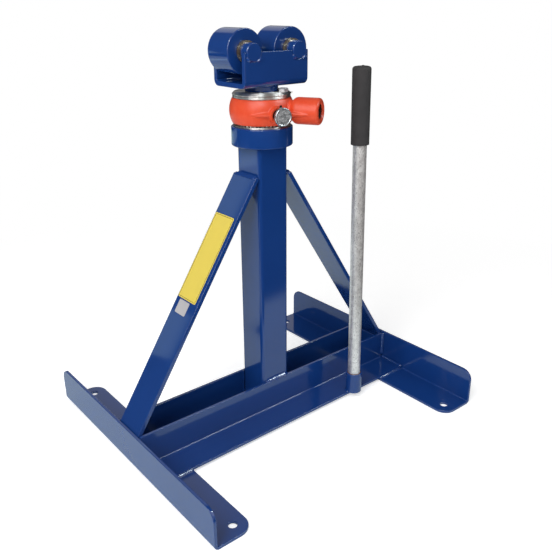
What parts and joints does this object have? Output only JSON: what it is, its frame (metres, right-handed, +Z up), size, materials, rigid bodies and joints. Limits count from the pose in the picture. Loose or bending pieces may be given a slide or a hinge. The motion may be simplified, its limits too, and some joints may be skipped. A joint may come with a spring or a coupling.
{
  "type": "cable drum jack",
  "caption": "Ratchet screw jack for cable drums: welded angle base with braced square column, reversible ratchet head, roller saddle on a lifting screw, and a stowed handle.",
  "frame": {"origin": "on the floor below the column's axis", "axes": "+Z up, +X along the rails to the side with the handle, +Y away from the handle"},
  "size_m": [0.74, 0.642, 0.8539],
  "materials": {
    "blue_paint": "gloss enamel",
    "orange_paint": "semi-gloss paint on a casting",
    "bright_steel": "bright plated",
    "dark_steel": "oiled",
    "screw_steel": "machined and oiled",
    "bronze": "turned",
    "galvanised_steel": "galvanised",
    "grip_rubber": "matte"
  },
  "bodies": {
    "base": {"left_foot": "blue_paint", "right_foot": "blue_paint", "front_rail": "blue_paint", "rear_rail": "blue_paint", "column_tube": "blue_paint", "left_brace": "blue_paint", "right_brace": "blue_paint", "top_collar": "blue_paint", "guide_bush": "bronze", "handle_holder": "blue_paint", "bearing_lower_race": "bright_steel", "bearing_balls": "bright_steel"},
    "nut": {"ratchet_nut": "bronze", "bearing_upper_race": "bright_steel", "thrust_washer": "bright_steel", "retaining_ring": "bright_steel", "ring_bolts": "bright_steel"},
    "ratchet_head": {"ratchet_body": "orange_paint", "pawl_gland": "dark_steel", "pawl_spring": "bright_steel"},
    "pawl_slide": {"pawl_washer": "bright_steel"},
    "pawl": {"pawl_plunger": "bright_steel", "cross_pin": "dark_steel", "pawl_knob": "bright_steel"},
    "screw": {"lifting_screw": "screw_steel", "saddle_boss": "blue_paint", "saddle_channel": "blue_paint", "left_roller_pin": "blue_paint", "right_roller_pin": "blue_paint", "guide_block": "dark_steel", "guide_washer": "bright_steel", "guide_bolt": "bright_steel"},
    "left_roller": {"left_roller": "blue_paint", "left_bush": "bronze"},
    "right_roller": {"right_roller": "blue_paint", "right_bush": "bronze"},
    "handle": {"handle_tube": "galvanised_steel", "handle_grip": "grip_rubber"}
  },
  "joints": [
    {"name": "nut_turn", "type": "hinge", "parent": "base", "child": "nut", "pos_m": [0, 0, 0.6929], "axis": [0, 0, -1], "range_deg": [0, 17280]},
    {"name": "screw_lift", "type": "slide", "parent": "base", "child": "screw", "axis": [0, 0, 1], "range_m": [0, 0.3048]},
    {"name": "head_swing", "type": "hinge", "parent": "base", "child": "ratchet_head", "pos_m": [0, 0, 0.6929], "axis": [0, 0, 1], "continuous": true},
    {"name": "pawl_engage", "type": "slide", "parent": "ratchet_head", "child": "pawl_slide", "axis": [0.2079, 0.9781, 0], "range_m": [0, 0.0065], "deforming": ["pawl_spring"]},
    {"name": "knob_turn", "type": "hinge", "parent": "pawl_slide", "child": "pawl", "pos_m": [-0.01871, -0.08803, 0.6929], "axis": [-0.2079, -0.9781, 0], "range_deg": [0, 180]},
    {"name": "left_roller_spin", "type": "hinge", "parent": "screw", "child": "left_roller", "pos_m": [-0.0565, 0, 0.8114], "axis": [0, 1, 0], "continuous": true},
    {"name": "right_roller_spin", "type": "hinge", "parent": "screw", "child": "right_roller", "pos_m": [0.0565, 0, 0.8114], "axis": [0, 1, 0], "continuous": true},
    {"name": "handle_lift", "type": "slide", "parent": "base", "child": "handle", "axis": [-0.0202, 0, 0.9998], "range_m": [0, 0.075]}
  ],
  "couplings": [
    {"joint": "screw_lift", "follows": "nut_turn", "m_per_rad": 0.0010106}
  ]
}
